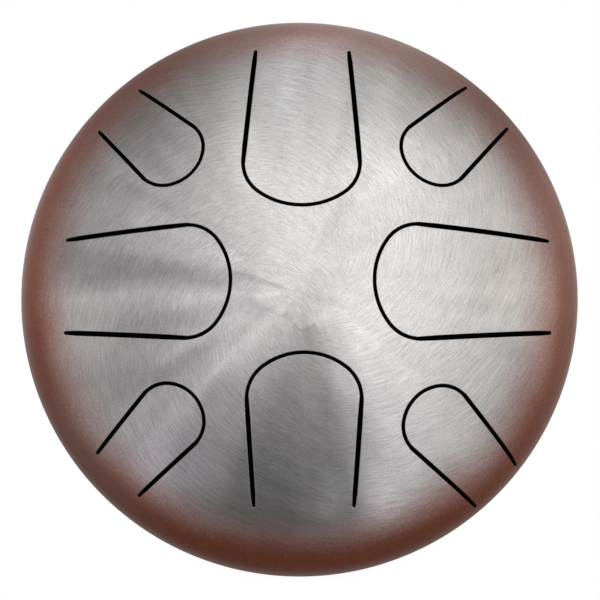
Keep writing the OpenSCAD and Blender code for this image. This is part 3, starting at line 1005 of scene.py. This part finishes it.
class Tent:
    """A white photo tent: bright behind and to the right, greyer to the left, with the dark gap in front
    where the photographer stands."""

    def __init__(self, g):
        self.g = g
        self.direction = g.node("ShaderNodeTexCoord").outputs["Generated"]
        x, y, z = g.split(self.direction)
        self.bearing = g.math("ARCTAN2", y, x)
        self.upright = g.math("ARCTAN2", g.minus(y, UPRIGHT_Y), g.minus(x, UPRIGHT_X))
        self.down = g.math("ARCCOSINE", z)      # 0 straight up, pi / 2 at the horizon

    def below(self, high, low, start=0.0, end=1.0):
        """A smooth step downwards, between two angles down from straight above."""
        return self.g.step(self.down, math.radians(high), math.radians(low), start, end)

    def band(self, top, bottom):
        """1 between two soft edges, each given by the angles down where it starts and ends."""
        return self.g.times(self.below(*top), self.below(*bottom, 1.0, 0.0))

    def level(self, bright):
        """How bright the tent is, given how far a bearing belongs to the bright side."""
        g = self.g
        dull = g.times(self.below(*DULL_SIDE), g.rest(bright))
        level = g.add(dull, g.times(self.below(*BRIGHT_SIDE), bright))
        glow = 0.0
        for middle, width in GLOWS:
            glow = g.add(g.bearing_bump(self.bearing, middle, width), glow)
        level = g.add(level, g.times(g.times(glow, self.band(GLOW_TOP, GLOW_BOTTOM)), GLOW_LEVEL))
        for middle, width, top, bottom, change in SIDE_PANELS:
            panel = self.band((top - PANEL_EDGE, top + PANEL_EDGE),
                              (bottom - PANEL_EDGE, bottom + PANEL_EDGE))
            level = g.changed(level, g.times(g.bearing_bump(self.upright, middle, width), panel), change)
        level = g.changed(level, g.bearing_box(self.upright, *GAP), -GAP_DEPTH)
        level = g.node("ShaderNodeMix", {"data_type": "FLOAT"}, Factor=self.below(*HORIZON), A=level,
                       B=sweep_level(g, self.bearing, *HORIZON_LEVELS)).outputs["Result"]
        for middle, width, top, change in TENT_SHADES:
            shade = self.band((top - SHADE_EDGE, top + SHADE_EDGE), SHADE_BOTTOM)
            level = g.changed(level, g.times(g.bearing_bump(self.bearing, middle, width), shade), change)
        return level

    def colour(self):
        """The tent's brightness and tints, with the glow of each soft box behind it."""
        g = self.g
        bright = g.bearing_box(self.bearing, *BRIGHT_BEARINGS)
        colour = g.mix(1.0, g.grey(self.level(bright)), g.mix(bright, DULL_TINT, (1.0, 1.0, 1.0)), "MULTIPLY")
        for box_bearing, box_down, size, strength, tint in SOFT_BOXES:
            aim = Vector((0, 0, 1))
            aim.rotate(Euler((0, math.radians(box_down), math.radians(box_bearing))))
            near = g.node("ShaderNodeVectorMath", {"operation": "DISTANCE"})
            g.feed(near.inputs[0], self.direction)
            g.feed(near.inputs[1], aim)
            colour = g.mix(g.step(near.outputs["Value"], 0.0, size, strength, 0.0), colour, tint, "ADD")
        return colour


def make_world():
    """The tent lights the drum and is mirrored by it; the camera itself sees plain white."""
    world = bpy.data.worlds.new("tent")
    bpy.context.scene.world = world
    world.use_nodes = True
    g = Graph(world.node_tree)
    colour = Tent(g).colour()
    seen = g.node("ShaderNodeLightPath").outputs["Is Camera Ray"]
    background = g.node("ShaderNodeBackground", Color=g.mix(seen, colour, (1, 1, 1)), Strength=1.0)
    g.node("ShaderNodeOutputWorld", Surface=background.outputs[0])


def make_camera():
    """A camera nearly straight above the drum, leaning a little towards its front."""
    data = bpy.data.cameras.new("camera")
    data.lens, data.sensor_width = CAMERA_LENS, CAMERA_SENSOR
    data.clip_start, data.clip_end = 0.01, 100.0
    camera = bpy.data.objects.new("camera", data)
    bpy.context.scene.collection.objects.link(camera)
    right = Vector((1, 0, 0))
    up = Vector((0, math.sin(CAMERA_ELEVATION), math.cos(CAMERA_ELEVATION)))
    back = Vector((0, -math.cos(CAMERA_ELEVATION), math.sin(CAMERA_ELEVATION)))
    aim = Vector((0, 0, SEAM_Z)) + AIM_RIGHT * right + AIM_UP * up
    camera.location = (aim + CAMERA_DISTANCE * back) * MM
    camera.rotation_mode = "QUATERNION"
    camera.rotation_quaternion = back.to_track_quat("Z", "Y")
    bpy.context.scene.camera = camera


make_top()
finish_nodes()
make_floor()
make_world()
make_camera()
bpy.context.scene.view_settings.view_transform = "Standard"
